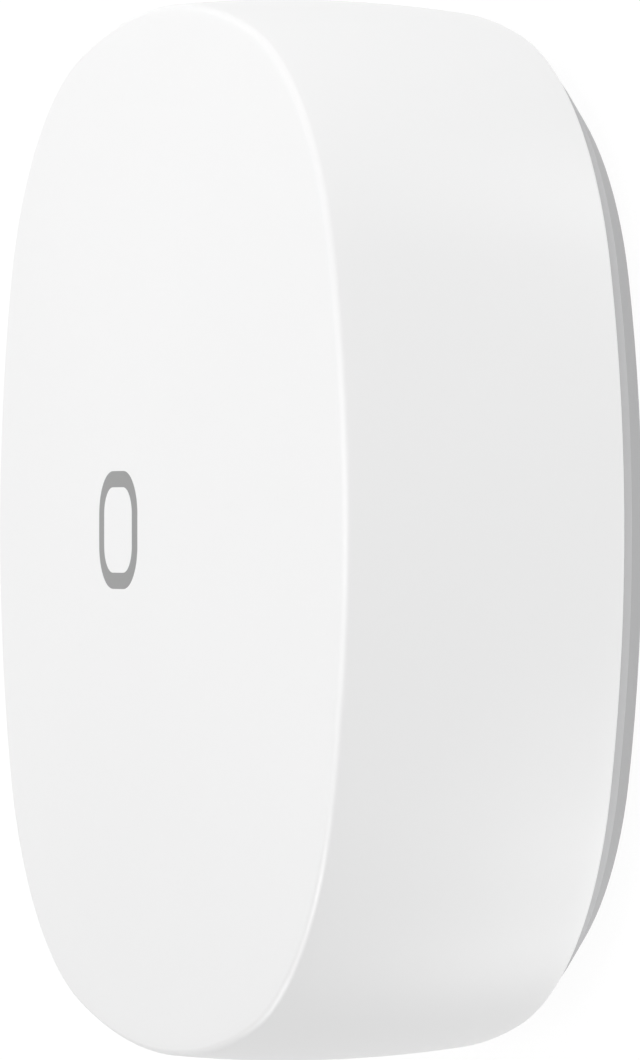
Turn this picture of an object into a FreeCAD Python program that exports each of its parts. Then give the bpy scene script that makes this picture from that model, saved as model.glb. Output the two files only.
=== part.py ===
import FreeCAD, Part
import math
import os

Vector = FreeCAD.Vector

# A wireless smart button. A white pillow-shaped cap is pressed as a whole against a grey base,
# which holds a coin cell behind a bayonet door, a small radio board and a push switch.
# It lies on its back: Z = 0 is the back face, +Z is the way the pressed face looks,
# and the origin is the middle of the back. All sizes are in millimetres.
# The case grows from the inside out: the widths add up from the cell to the rim of the face,
# and the heights add up from the back to the top of the dome.

# Coin cell, type 2450
CELL_DIAMETER = 24.5
CELL_HEIGHT = 5.0
CELL_SKIN = 0.3
CELL_GASKET = 0.6
CELL_SHOULDER = 0.35
CELL_CLEARANCE = 0.3

# Battery door
DOOR_RECESS = 0.15
DOOR_OVERLAP = 0.35
DOOR_GAP = 0.15
DOOR_TURN = 30.0
LUG_COUNT = 3
LUG_ANGLE = 20.0
LUG_REACH = 0.8
LUG_THICKNESS = 0.55
LUG_CLEARANCE = 0.05
LUG_SIDE_GAP = 0.2
NOTCH_EXTRA_ANGLE = 2.0
STOP_ANGLE = 6.0
STOP_GAP_ANGLE = 1.0
CELL_REST_HEIGHT = 0.1
CELL_REST_WIDTH = 1.2
CELL_REST_GAP = 0.05
COIN_SLOT_LENGTH = 13.0
COIN_SLOT_WIDTH = 1.9
COIN_SLOT_DEPTH = 0.9
MAGNET_DIAMETER = 5.0
MAGNET_THICKNESS = 1.0
MAGNET_GAP = 0.05
MAGNET_EDGE = 1.6
DOT_DIAMETER = 0.8
DOT_DEPTH = 0.15
DOT_EDGE = 1.1

# Base
FLOOR = 1.2
WELL_WALL = 1.0
SIDE_ROOM = 1.9
NECK_WALL = 1.2
NECK_RISE = 1.3
FOOT_HEIGHT = 1.25
FOOT_EDGE = 0.365
FOOT_EDGE_ROUND = 0.1
FOOT_TAPER = 1.15
FOOT_INSET = 0.8
BOSS_DIAMETER = 3.2
BACK_EDGE_ROUND = 0.1

# Board
CONTACT_ROOM = 0.55
BOARD_THICKNESS = 0.8
BOARD_CLEARANCE = 0.35

# Push switch under the middle of the cap
SWITCH_WIDTH = 6.0
SWITCH_WALL = 0.75
SWITCH_FLOOR = 0.6
SWITCH_BODY_HEIGHT = 2.0
SWITCH_COVER = 0.3
SWITCH_COVER_LEG = 1.1
SWITCH_COVER_LEG_WIDTH = 2.2
STEM_DIAMETER = 3.2
STEM_CLEARANCE = 0.1
STEM_RISE = 0.9
STEM_FLANGE = 0.5
STEM_NUB_DIAMETER = 1.6
DOME_SHEET = 0.1
DOME_RISE = 0.45
LEAD_WIDTH = 0.7
LEAD_SHEET = 0.15
LEAD_FOOT = 1.0
LEAD_SPREAD = 4.5

# Cap
GUIDE_GAP = 0.35
SKIRT_WALL = 1.3
REAR_TAPER = 0.07
BARREL = 0.3135
SKIRT_DRAFT = 0.1
PRESS_TRAVEL = 0.3
REAR_CLEARANCE = 0.15
REAR_EDGE_ROUND = 0.15
LIP_HEIGHT = 0.25
LIP_GAP = 0.15
RIM_ROUND = 0.33
FACE_WALL = 1.5
FACE_DOME = 1.75
CEILING_DROP = 0.25
LAND_DIAMETER = 12.0
LAND_THICKNESS = 0.3
PIP_DIAMETER = 2.8
PIP_LENGTH = 0.7
RIB_WIDTH = 0.8
RIB_DEPTH = 1.4

# Snap hooks that hold the cap on the base
HOOK_WIDTH = 6.0
HOOK_HEIGHT = 0.8
HOOK_REACH = 0.6
HOOK_SEAT = 0.05
HOOK_ABOVE_REAR = 0.85
POCKET_SIDE_GAP = 0.5
POCKET_DEPTH = 0.55

# Outline of the face at its rim: four long side arcs and four corner arcs
SIDE_RADIUS = 35.08
CORNER_RADIUS = 12.65

# Mark in the middle of the face, a plain rounded square ring
MARK_WIDTH = 4.43
MARK_CORNER = 1.62
MARK_STROKE = 0.61
MARK_DEPTH = 0.5

# Light guide under the mark
GUIDE_THICKNESS = 0.6
GUIDE_RING_DIAMETER = 10.0
GUIDE_BORE_CLEARANCE = 0.2
GUIDE_EAR_DIAMETER = 3.0
GUIDE_LEG_DIAMETER = 1.8
GUIDE_LEG_LENGTH = 1.9
LAMP_REACH = 6.4

# Reset button on the back, with its switch under the board
RESET_DIAMETER = 2.2
RESET_GAP = 0.05
RESET_RECESS = 0.25
RESET_FLANGE = 0.4
RESET_FLANGE_THICKNESS = 0.5
RESET_FLANGE_GAP = 0.05
RESET_PIN_DIAMETER = 1.4
RESET_TRAVEL = 0.25
RESET_SWITCH_WIDTH = 2.8
RESET_SWITCH_HEIGHT = 1.4
RESET_STEM_DIAMETER = 1.2
RESET_STEM_RISE = 0.35
RESET_STEM_INSIDE = 0.6
RESET_STEM_CLEARANCE = 0.1
RESET_PUSH_GAP = 0.05

# Board screws
SCREW_SHANK = 1.56
SCREW_LENGTH = 4.0
SCREW_HEAD = 2.9
SCREW_HEAD_HEIGHT = 0.9
SCREW_PILOT = 1.6
SCREW_BOARD_HOLE = 1.8
SCREW_RECESS_WIDTH = 0.4
SCREW_RECESS_LENGTH = 1.7
SCREW_RECESS_DEPTH = 0.45

# Spring contacts of the cell
CONTACT_SHEET = 0.2
SIDE_CONTACT_WIDTH = 3.6
SIDE_CONTACT_SLOT_GAP = 0.7
SIDE_CONTACT_LENGTH = 4.1
TOP_CONTACT_WIDTH = 4.0
TOP_CONTACT_REACH = 9.0
TOP_CONTACT_FOOT = 3.0
CONTACT_TOUCH = 0.02

# Parts on top of the board: width X, width Y, height, place X, place Y of the middle
SHIELD = (9.6, 11.0, 1.6, -9.6, -1.4)
SHIELD_SHEET = 0.2
SHIELD_CORNER = 0.5
RADIO_CHIP = (7.0, 7.0, 0.85, -9.6, -2.9)
CRYSTAL = (3.2, 2.5, 0.7, -9.6, 2.2)
ANTENNA = (7.0, 2.0, 1.0, 0.0, 13.2)
LAMP = (1.6, 0.8, 0.6)
CHIP_CAPACITORS = (
    (1.0, 0.5, 0.5, -3.6, 7.2),
    (1.0, 0.5, 0.5, -1.2, 8.6),
    (1.0, 0.5, 0.5, 1.4, 10.4),
    (0.5, 1.0, 0.5, -2.4, 10.6),
    (0.5, 1.0, 0.5, 5.6, -4.0),
    (1.0, 0.5, 0.5, 2.0, -6.4),
    (3.2, 2.5, 1.6, 9.6, -3.4),
    (3.2, 2.5, 1.6, 9.6, -7.0),
)
CHIP_RESISTORS = (
    (1.0, 0.5, 0.35, 6.4, 1.6),
    (1.0, 0.5, 0.35, 6.4, 0.4),
    (1.0, 0.5, 0.35, -1.6, -6.4),
    (0.5, 1.0, 0.35, -3.0, -8.4),
    (0.5, 1.0, 0.35, 7.4, 6.2),
    (0.5, 1.0, 0.35, 8.6, 6.2),
)

# Directions on the board, in degrees from +X towards +Y
LUG_START = 90.0
SCREW_ANGLES = (45.0, 225.0)
RESET_ANGLE = 135.0
LAMP_ANGLE = 45.0
DOT_ANGLE = 270.0

# Heights, from the back to the front
lug_z = FLOOR + LUG_CLEARANCE
door_top_z = lug_z + LUG_THICKNESS
well_roof_z = door_top_z + LUG_CLEARANCE
cell_z = door_top_z + CELL_REST_HEIGHT + CELL_REST_GAP
cell_top_z = cell_z + CELL_HEIGHT
board_z = cell_top_z + CONTACT_ROOM
board_top_z = board_z + BOARD_THICKNESS
switch_top_z = board_top_z + SWITCH_BODY_HEIGHT + SWITCH_COVER
stem_top_z = switch_top_z + STEM_RISE
land_z = stem_top_z + PIP_LENGTH
apex_z = land_z + LAND_THICKNESS + FACE_WALL
rim_z = apex_z - FACE_DOME
ceiling_z = apex_z - FACE_WALL
lip_top_z = FOOT_HEIGHT + PRESS_TRAVEL + REAR_CLEARANCE
cap_rear_z = lip_top_z - LIP_HEIGHT
neck_top_z = board_top_z + NECK_RISE
hook_z = cap_rear_z + HOOK_ABOVE_REAR
hook_top_z = hook_z + HOOK_HEIGHT

# Half widths, from the middle outwards
cell_r = CELL_DIAMETER / 2
well_r = cell_r + CELL_CLEARANCE
door_r = well_r + DOOR_OVERLAP
door_hole_r = door_r + DOOR_GAP
lug_r = door_r + LUG_REACH
lug_room_r = lug_r + LUG_SIDE_GAP
well_outer_r = lug_room_r + WELL_WALL
neck_in = well_outer_r + SIDE_ROOM
neck_out = neck_in + NECK_WALL
skirt_in = neck_out + GUIDE_GAP
skirt_out = skirt_in + SKIRT_WALL
rim_half = skirt_out + REAR_TAPER
foot_half = skirt_out - FOOT_INSET
lip_in = foot_half + LIP_GAP
back_half = foot_half - FOOT_TAPER
board_half = neck_in - BOARD_CLEARANCE


def ring_of_arcs(half, side_r, corner_r, z):
    """The closed outline of eight arcs that meet smoothly, in the plane at height z."""
    side_centre = half - side_r
    spread = side_r - corner_r
    corner_centre = (side_centre + math.sqrt(2 * spread ** 2 - side_centre ** 2)) / 2
    meet = math.atan2(corner_centre, corner_centre - side_centre)
    quarter = math.pi / 2
    edges = []
    for turn in range(4):
        arcs = (
            (side_centre, 0, side_r, -meet, meet),
            (corner_centre, corner_centre, corner_r, meet, quarter - meet),
        )
        for centre_x, centre_y, radius, start, end in arcs:
            points = []
            for angle in (start, (start + end) / 2, end):
                x = centre_x + radius * math.cos(angle)
                y = centre_y + radius * math.sin(angle)
                cos_turn = math.cos(turn * quarter)
                sin_turn = math.sin(turn * quarter)
                points.append(Vector(x * cos_turn - y * sin_turn, x * sin_turn + y * cos_turn, z))
            edges.append(Part.Arc(*points).toShape())
    return Part.Wire(edges)


def outline(half, z):
    """The outline at this half width, at an even distance inside or outside the face's rim."""
    growth = half - rim_half
    return ring_of_arcs(half, SIDE_RADIUS + growth, CORNER_RADIUS + growth, z)


def corner_reach(half):
    """How far the outline of this half width lies from the middle along its diagonal."""
    growth = half - rim_half
    side_centre = rim_half - SIDE_RADIUS
    spread = SIDE_RADIUS - CORNER_RADIUS
    corner_centre = (side_centre + math.sqrt(2 * spread ** 2 - side_centre ** 2)) / 2
    return corner_centre * math.sqrt(2) + CORNER_RADIUS + growth


def slab(half, z0, z1):
    """A straight-sided block with the outline of this half width."""
    return Part.Face(outline(half, z0)).extrude(Vector(0, 0, z1 - z0))


def tapered_slab(half0, z0, half1, z1):
    """A block whose outline grows or shrinks evenly from z0 to z1."""
    return Part.makeLoft([outline(half0, z0), outline(half1, z1)], True, True)


def dome(half, z, rise):
    """A shallow dome on the outline of this half width, with a small flat at the very top."""
    growth = half - rim_half
    side_r = SIDE_RADIUS + growth
    corner_r = CORNER_RADIUS + growth
    shares = (1.0, 0.8, 0.6, 0.4, 0.2, 0.05)
    flat = 1 - shares[-1] ** 2
    sections = []
    for share in shares:
        height = z + rise * (1 - share ** 2) / flat
        sections.append(ring_of_arcs(half * share, side_r * share, corner_r * share, height))
    return Part.makeLoft(sections, True, False)


def disc(radius, z0, z1, x=0.0, y=0.0):
    return Part.makeCylinder(radius, z1 - z0, Vector(x, y, z0))


def block(width_x, width_y, z0, z1, x=0.0, y=0.0):
    """A box centred on x, y."""
    corner = Vector(x - width_x / 2, y - width_y / 2, z0)
    return Part.makeBox(width_x, width_y, z1 - z0, corner)


def polar(radius, degrees):
    angle = math.radians(degrees)
    return radius * math.cos(angle), radius * math.sin(angle)


def turned(shape, degrees, x=0.0, y=0.0):
    """A copy turned about the upright line through x, y."""
    copy = shape.copy()
    copy.rotate(Vector(x, y, 0), Vector(0, 0, 1), degrees)
    return copy


def sector(radius, z0, z1, middle, angle):
    """A pie slice of this angle, centred on the direction middle."""
    slice_solid = Part.makeCylinder(radius, z1 - z0, Vector(0, 0, z0), Vector(0, 0, 1), angle)
    return turned(slice_solid, middle - angle / 2)


def ring_sector(r_in, r_out, z0, z1, middle, angle):
    return sector(r_out, z0, z1, middle, angle).cut(disc(r_in, z0, z1))


def rounded_square(width, corner, z0, z1):
    """A square block with its four upright edges rounded."""
    square = block(width, width, z0, z1)
    upright = [edge for edge in square.Edges if abs(edge.tangentAt(0).z) > 0.5]
    return square.makeFillet(corner, upright)


def strip(points, sheet, width, side):
    """A bent sheet metal strip that follows the points in the XZ plane, width wide along Y."""
    path = Part.makePolygon([Vector(x, 0, z) for x, z in points])
    face = path.makeOffset2D(side * sheet, 2, True, True)
    ribbon = face.extrude(Vector(0, width, 0))
    ribbon.translate(Vector(0, -width / 2, 0))
    return ribbon


def edges_at(shape, z, tolerance=1e-4):
    """The edges of the shape that lie in the plane at height z."""
    found = []
    for edge in shape.Edges:
        if all(abs(vertex.Point.z - z) < tolerance for vertex in edge.Vertexes):
            found.append(edge)
    return found


def side_gates(width, z0, z1):
    """Four blocks across the middles of the sides, which cut a band round the case to this width."""
    gate = block(skirt_out, width, z0, z1, cell_r + skirt_out / 2)
    return [turned(gate, 90.0 * k) for k in range(4)]


def lug_angles(turn=0.0):
    return [LUG_START + turn + 360.0 * k / LUG_COUNT for k in range(LUG_COUNT)]


# Places of the pieces in the corners, between the well and the neck
corner_place_r = (well_outer_r + corner_reach(neck_in)) / 2
lamp_xy = polar(LAMP_REACH, LAMP_ANGLE)
reset_xy = polar(corner_place_r, RESET_ANGLE)


def cap_wall_half(share):
    """Half width of the cap's side wall: 0 is the rim of the face, 1 is the rear edge."""
    return rim_half - REAR_TAPER * share + BARREL * 4 * share * (1 - share)


def cap_envelope():
    """The outside of the cap: a barrel-shaped wall under a shallow dome."""
    sections = []
    for share in (1.0, 0.75, 0.5, 0.25, 0.0):
        z = rim_z + (cap_rear_z - rim_z) * share
        sections.append(outline(cap_wall_half(share), z))
    wall = Part.makeLoft(sections, True, False)
    whole = wall.fuse(dome(rim_half, rim_z, FACE_DOME))
    whole = whole.makeFillet(RIM_ROUND, edges_at(whole, rim_z))
    return whole.makeFillet(REAR_EDGE_ROUND, edges_at(whole, cap_rear_z))


def mark_prism(z0, z1):
    outer = rounded_square(MARK_WIDTH, MARK_CORNER, z0, z1)
    inner = rounded_square(MARK_WIDTH - 2 * MARK_STROKE, MARK_CORNER - MARK_STROKE, z0, z1)
    return outer.cut(inner)


def cap_and_mark():
    """The white cap with its ribs, pip, hooks and rear lip, and the grey ring let into its face."""
    outside = cap_envelope()
    roof_half = skirt_in - SKIRT_DRAFT
    roof_rise = FACE_DOME - CEILING_DROP
    roof_z = ceiling_z - roof_rise
    hollow = tapered_slab(skirt_in, cap_rear_z, roof_half, roof_z)
    hollow = hollow.fuse(dome(roof_half, roof_z, roof_rise))
    hollow = hollow.fuse(slab(lip_in, cap_rear_z, lip_top_z))

    kept = [disc(LAND_DIAMETER / 2, land_z, apex_z)]
    kept.append(disc(GUIDE_EAR_DIAMETER / 2, land_z, apex_z, *lamp_xy))
    kept.append(disc(PIP_DIAMETER / 2, stem_top_z, apex_z))
    rib_z = land_z - RIB_DEPTH
    rib_length = skirt_in - LAND_DIAMETER / 2 + RIB_WIDTH
    rib_middle = (LAND_DIAMETER - RIB_WIDTH + rib_length) / 2
    for k in range(4):
        rib = block(rib_length, RIB_WIDTH, rib_z, apex_z, rib_middle)
        kept.append(turned(rib, 90.0 * k))
    hook_band = slab(skirt_in + SKIRT_WALL / 2, hook_z, hook_top_z)
    hook_band = hook_band.cut(slab(skirt_in - HOOK_REACH, hook_z, hook_top_z))
    for gate in side_gates(HOOK_WIDTH, hook_z, hook_top_z):
        kept.append(hook_band.common(gate))
    hollow = hollow.cut(kept)

    cap = outside.cut(hollow)
    prism = mark_prism(apex_z - MARK_DEPTH, apex_z + MARK_DEPTH)
    mark = outside.common(prism)
    return cap.cut(prism), mark


def light_guide():
    """A clear ring glued under the mark, with a leg that looks down at the lamp on the board."""
    z0 = land_z - GUIDE_THICKNESS
    ring = disc(GUIDE_RING_DIAMETER / 2, z0, land_z)
    ring = ring.fuse(disc(GUIDE_EAR_DIAMETER / 2, z0, land_z, *lamp_xy))
    ring = ring.fuse(disc(GUIDE_LEG_DIAMETER / 2, z0 - GUIDE_LEG_LENGTH + GUIDE_THICKNESS, z0, *lamp_xy))
    return ring.cut(disc(PIP_DIAMETER / 2 + GUIDE_BORE_CLEARANCE, z0, land_z))


def base_shell():
    """Foot, floor, guide neck, cell well, bayonet ledges and screw bosses in one moulding.

    The foot's upright edge stands a little inside the cap's rear lip, which slides past it."""
    bevel_top_z = FOOT_HEIGHT - FOOT_EDGE
    foot = slab(foot_half, bevel_top_z, FOOT_HEIGHT)
    foot = foot.makeFillet(FOOT_EDGE_ROUND, edges_at(foot, FOOT_HEIGHT))
    shell = foot.fuse(tapered_slab(back_half, 0, foot_half, bevel_top_z))
    shell = shell.fuse(slab(neck_out, bevel_top_z, neck_top_z))
    shell = shell.cut(slab(neck_in, FLOOR, neck_top_z))
    shell = shell.fuse(disc(well_outer_r, FLOOR, board_z))
    for angle in SCREW_ANGLES:
        shell = shell.fuse(disc(BOSS_DIAMETER / 2, FLOOR, board_z, *polar(corner_place_r, angle)))

    shell = shell.cut(disc(door_hole_r, 0, FLOOR))
    shell = shell.cut(disc(lug_room_r, FLOOR, well_roof_z))
    shell = shell.cut(disc(well_r, well_roof_z, board_z))
    for angle in lug_angles(-DOOR_TURN):
        notch_angle = LUG_ANGLE + 2 * NOTCH_EXTRA_ANGLE
        shell = shell.cut(sector(lug_room_r, 0, FLOOR, angle, notch_angle))
    stop_offset = (LUG_ANGLE + STOP_ANGLE) / 2 + STOP_GAP_ANGLE
    for angle in lug_angles():
        for stop_angle in (angle + stop_offset, angle - DOOR_TURN - stop_offset):
            stop = ring_sector(door_hole_r, lug_room_r, FLOOR, well_roof_z, stop_angle, STOP_ANGLE)
            shell = shell.fuse(stop)

    slot_width = SIDE_CONTACT_WIDTH + 2 * SIDE_CONTACT_SLOT_GAP
    slot_z = board_z - SIDE_CONTACT_LENGTH - SIDE_CONTACT_SLOT_GAP
    slot_depth = well_outer_r - cell_r + SIDE_CONTACT_SLOT_GAP
    slot = block(slot_width, slot_depth, slot_z, board_z, 0, -cell_r - slot_depth / 2)
    shell = shell.cut(slot)

    for angle in SCREW_ANGLES:
        hole = disc(SCREW_PILOT / 2, board_z - SCREW_LENGTH, board_z, *polar(corner_place_r, angle))
        shell = shell.cut(hole)
    shell = shell.cut(disc(RESET_DIAMETER / 2 + RESET_GAP, 0, FLOOR, *reset_xy))
    shell = shell.makeFillet(BACK_EDGE_ROUND, edges_at(shell, 0))

    pocket_z0 = FOOT_HEIGHT
    pocket_z1 = hook_top_z + HOOK_SEAT
    pocket_band = slab(skirt_in, pocket_z0, pocket_z1)
    pocket_band = pocket_band.cut(slab(neck_out - POCKET_DEPTH, pocket_z0, pocket_z1))
    for gate in side_gates(HOOK_WIDTH + 2 * POCKET_SIDE_GAP, pocket_z0, pocket_z1):
        shell = shell.cut(pocket_band.common(gate))

    dot_r = lug_room_r + DOT_EDGE
    for angle in (DOT_ANGLE, DOT_ANGLE - DOOR_TURN):
        shell = shell.cut(disc(DOT_DIAMETER / 2, 0, DOT_DEPTH, *polar(dot_r, angle)))
    return shell


def magnet_places():
    reach = door_r - MAGNET_EDGE - MAGNET_DIAMETER / 2
    return [polar(reach, angle) for angle in lug_angles()]


def battery_door():
    """A disc with three bayonet lugs, a coin slot outside and pockets for magnets inside."""
    door = disc(door_r, DOOR_RECESS, door_top_z)
    for angle in lug_angles():
        lug = ring_sector(door_r / 2, lug_r, lug_z, door_top_z, angle, LUG_ANGLE)
        door = door.fuse(lug)
    slot_top_z = DOOR_RECESS + COIN_SLOT_DEPTH
    slot = block(COIN_SLOT_LENGTH - COIN_SLOT_WIDTH, COIN_SLOT_WIDTH, DOOR_RECESS, slot_top_z)
    for side in (-1, 1):
        slot_end_x = side * (COIN_SLOT_LENGTH - COIN_SLOT_WIDTH) / 2
        slot = slot.fuse(disc(COIN_SLOT_WIDTH / 2, DOOR_RECESS, slot_top_z, slot_end_x))
    door = door.cut(slot)
    for x, y in magnet_places():
        pocket_r = MAGNET_DIAMETER / 2 + MAGNET_GAP
        door = door.cut(disc(pocket_r, door_top_z - MAGNET_THICKNESS, door_top_z, x, y))
    door = door.makeFillet(BACK_EDGE_ROUND, edges_at(door, DOOR_RECESS))
    rest_r = cell_r - CELL_REST_WIDTH
    for angle in lug_angles(DOOR_TURN):
        rest = ring_sector(rest_r - CELL_REST_WIDTH, rest_r, door_top_z, door_top_z + CELL_REST_HEIGHT,
                           angle, LUG_ANGLE)
        door = door.fuse(rest)
    dot_x, dot_y = polar(door_r - DOT_EDGE, DOT_ANGLE)
    return door.cut(disc(DOT_DIAMETER / 2, DOOR_RECESS, DOOR_RECESS + DOT_DEPTH, dot_x, dot_y))


def mount_magnets():
    z0 = door_top_z - MAGNET_THICKNESS
    return [disc(MAGNET_DIAMETER / 2, z0, door_top_z, x, y) for x, y in magnet_places()]


def coin_cell():
    """Steel can, plastic gasket and the raised negative lid, which stands for the contents too."""
    shoulder_z = cell_top_z - CELL_SHOULDER
    can = disc(cell_r, cell_z, shoulder_z)
    can = can.makeFillet(CELL_SKIN, edges_at(can, cell_z))
    can = can.cut(disc(cell_r - CELL_SKIN, cell_z + CELL_SKIN, shoulder_z))
    lid_r = cell_r - CELL_SKIN - CELL_GASKET
    gasket = disc(cell_r - CELL_SKIN, cell_z + CELL_SKIN, shoulder_z)
    gasket = gasket.cut(disc(lid_r, cell_z + CELL_SKIN, shoulder_z))
    lid = disc(lid_r, cell_z + CELL_SKIN, cell_top_z)
    lid = lid.makeFillet(CELL_SHOULDER / 2, edges_at(lid, cell_top_z))
    return can, gasket, lid


def main_board():
    board = slab(board_half, board_z, board_top_z)
    for angle in SCREW_ANGLES:
        board = board.cut(disc(SCREW_BOARD_HOLE / 2, board_z, board_top_z, *polar(corner_place_r, angle)))
    return board


def board_screws():
    screws = []
    recess_z = board_top_z + SCREW_HEAD_HEIGHT - SCREW_RECESS_DEPTH
    for angle in SCREW_ANGLES:
        x, y = polar(corner_place_r, angle)
        head = disc(SCREW_HEAD / 2, board_top_z, board_top_z + SCREW_HEAD_HEIGHT, x, y)
        head = head.makeFillet(SCREW_RECESS_WIDTH / 2, edges_at(head, board_top_z + SCREW_HEAD_HEIGHT))
        screw = head.fuse(disc(SCREW_SHANK / 2, board_top_z - SCREW_LENGTH, board_top_z, x, y))
        for turn in (0, 90):
            bar = block(SCREW_RECESS_LENGTH, SCREW_RECESS_WIDTH, recess_z,
                        board_top_z + SCREW_HEAD_HEIGHT, x, y)
            screw = screw.cut(turned(bar, turn + angle, x, y))
        screws.append(screw)
    return screws


def side_contact():
    """The spring strip on the can's side: a foot under the board, a leg and a bent-in tip."""
    leg_x = well_r + (well_outer_r - well_r) / 2
    touch_x = cell_r + CONTACT_TOUCH + CONTACT_SHEET
    foot_x = well_outer_r + SIDE_ROOM / 2
    tip_z = board_z - SIDE_CONTACT_LENGTH
    points = [
        (foot_x, board_z),
        (leg_x, board_z),
        (leg_x, tip_z),
        (touch_x, tip_z + (leg_x - touch_x)),
        (touch_x + CONTACT_SHEET, tip_z + 2 * (leg_x - touch_x)),
    ]
    contact = strip(points, CONTACT_SHEET, SIDE_CONTACT_WIDTH, 1)
    return turned(contact, -90)


def top_contact():
    """The leaf on the cell's lid: a foot under the board and a tongue bent down to the middle."""
    touch_z = cell_top_z + CONTACT_TOUCH + CONTACT_SHEET
    points = [
        (TOP_CONTACT_REACH, board_z),
        (TOP_CONTACT_REACH - TOP_CONTACT_FOOT, board_z),
        (0, touch_z),
        (-TOP_CONTACT_FOOT, touch_z + CONTACT_SHEET / 2),
    ]
    return strip(points, CONTACT_SHEET, TOP_CONTACT_WIDTH, 1)


def switch_pieces():
    """Push switch: housing, snap dome, stem and the sheet metal cover that keeps them in."""
    body_top_z = board_top_z + SWITCH_BODY_HEIGHT
    cavity_z = board_top_z + SWITCH_FLOOR
    cavity_r = SWITCH_WIDTH / 2 - SWITCH_WALL
    housing = block(SWITCH_WIDTH, SWITCH_WIDTH, board_top_z, body_top_z)
    housing = housing.cut(disc(cavity_r, cavity_z, body_top_z))

    hole_r = STEM_DIAMETER / 2 + STEM_CLEARANCE
    cover = block(SWITCH_WIDTH, SWITCH_WIDTH, body_top_z, switch_top_z)
    for side in (-1, 1):
        leg_x = side * (SWITCH_WIDTH + SWITCH_COVER) / 2
        leg = block(SWITCH_COVER, SWITCH_COVER_LEG_WIDTH, body_top_z - SWITCH_COVER_LEG, switch_top_z, leg_x)
        cover = cover.fuse(leg)
    cover = cover.cut(disc(hole_r, body_top_z, switch_top_z))

    dome_r = cavity_r - STEM_CLEARANCE
    ball_r = (dome_r ** 2 + DOME_RISE ** 2) / (2 * DOME_RISE)
    centre = Vector(0, 0, cavity_z + DOME_RISE - ball_r)
    snap_dome = Part.makeSphere(ball_r + DOME_SHEET, centre).cut(Part.makeSphere(ball_r, centre))
    snap_dome = snap_dome.common(disc(dome_r, cavity_z, body_top_z))

    flange_top_z = body_top_z - STEM_CLEARANCE / 2
    flange_z = flange_top_z - STEM_FLANGE
    nub_z = cavity_z + DOME_RISE + DOME_SHEET
    stem = disc(STEM_DIAMETER / 2, flange_top_z, stem_top_z)
    stem = stem.makeFillet(STEM_CLEARANCE, edges_at(stem, stem_top_z))
    stem = stem.fuse(disc(cavity_r - 2 * STEM_CLEARANCE, flange_z, flange_top_z))
    stem = stem.fuse(disc(STEM_NUB_DIAMETER / 2, nub_z, flange_z))
    return housing, cover, snap_dome, stem


def switch_leads():
    """Four bent leads that come out of the housing's sides and lie on the board."""
    leads = []
    half = SWITCH_WIDTH / 2
    points = [
        (half, board_top_z + SWITCH_FLOOR),
        (half + LEAD_FOOT / 3, board_top_z + SWITCH_FLOOR),
        (half + LEAD_FOOT / 3, board_top_z + LEAD_SHEET),
        (half + LEAD_FOOT, board_top_z + LEAD_SHEET),
    ]
    for turn in (90, 270):
        for side in (-1, 1):
            lead = strip(points, LEAD_SHEET, LEAD_WIDTH, 1)
            lead.translate(Vector(0, side * LEAD_SPREAD / 2, 0))
            leads.append(turned(lead, turn))
    return leads


def reset_pieces():
    """Reset button in the floor, and the small switch under the board that it pushes."""
    x, y = reset_xy
    body_z = board_z - RESET_SWITCH_HEIGHT
    stem_z = body_z - RESET_STEM_RISE
    body = block(RESET_SWITCH_WIDTH, RESET_SWITCH_WIDTH, body_z, board_z, x, y)
    body = turned(body, RESET_ANGLE, x, y)
    socket_r = RESET_STEM_DIAMETER / 2 + RESET_STEM_CLEARANCE
    socket_top_z = body_z + RESET_STEM_INSIDE + RESET_TRAVEL + RESET_STEM_CLEARANCE
    body = body.cut(disc(socket_r, body_z, socket_top_z, x, y))
    stem = disc(RESET_STEM_DIAMETER / 2, stem_z, body_z + RESET_STEM_INSIDE, x, y)

    flange_z = FLOOR + RESET_FLANGE_GAP
    button = disc(RESET_DIAMETER / 2, RESET_RECESS, flange_z, x, y)
    button = button.makeFillet(RESET_RECESS, edges_at(button, RESET_RECESS))
    flange_r = RESET_DIAMETER / 2 + RESET_FLANGE
    button = button.fuse(disc(flange_r, flange_z, flange_z + RESET_FLANGE_THICKNESS, x, y))
    button = button.fuse(disc(RESET_PIN_DIAMETER / 2, flange_z, stem_z - RESET_PUSH_GAP, x, y))
    return body, stem, button


def on_board(size_and_place):
    width_x, width_y, height, x, y = size_and_place
    return block(width_x, width_y, board_top_z, board_top_z + height, x, y)


def shield_can():
    width_x, width_y, height, x, y = SHIELD
    outer = on_board(SHIELD)
    upright = [edge for edge in outer.Edges if abs(edge.tangentAt(0).z) > 0.5]
    outer = outer.makeFillet(SHIELD_CORNER, upright)
    inner_x = width_x - 2 * SHIELD_SHEET
    inner_y = width_y - 2 * SHIELD_SHEET
    inside = block(inner_x, inner_y, board_top_z, board_top_z + height - SHIELD_SHEET, x, y)
    upright = [edge for edge in inside.Edges if abs(edge.tangentAt(0).z) > 0.5]
    return outer.cut(inside.makeFillet(SHIELD_CORNER - SHIELD_SHEET, upright))


def status_lamp():
    width_x, width_y, height = LAMP
    return on_board((width_x, width_y, height) + lamp_xy)


button_cap, mark_ring = cap_and_mark()
cell_can, cell_gasket, cell_lid = coin_cell()
switch_housing, switch_cover, switch_dome, switch_stem = switch_pieces()
reset_switch_body, reset_switch_stem, reset_button = reset_pieces()

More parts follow.
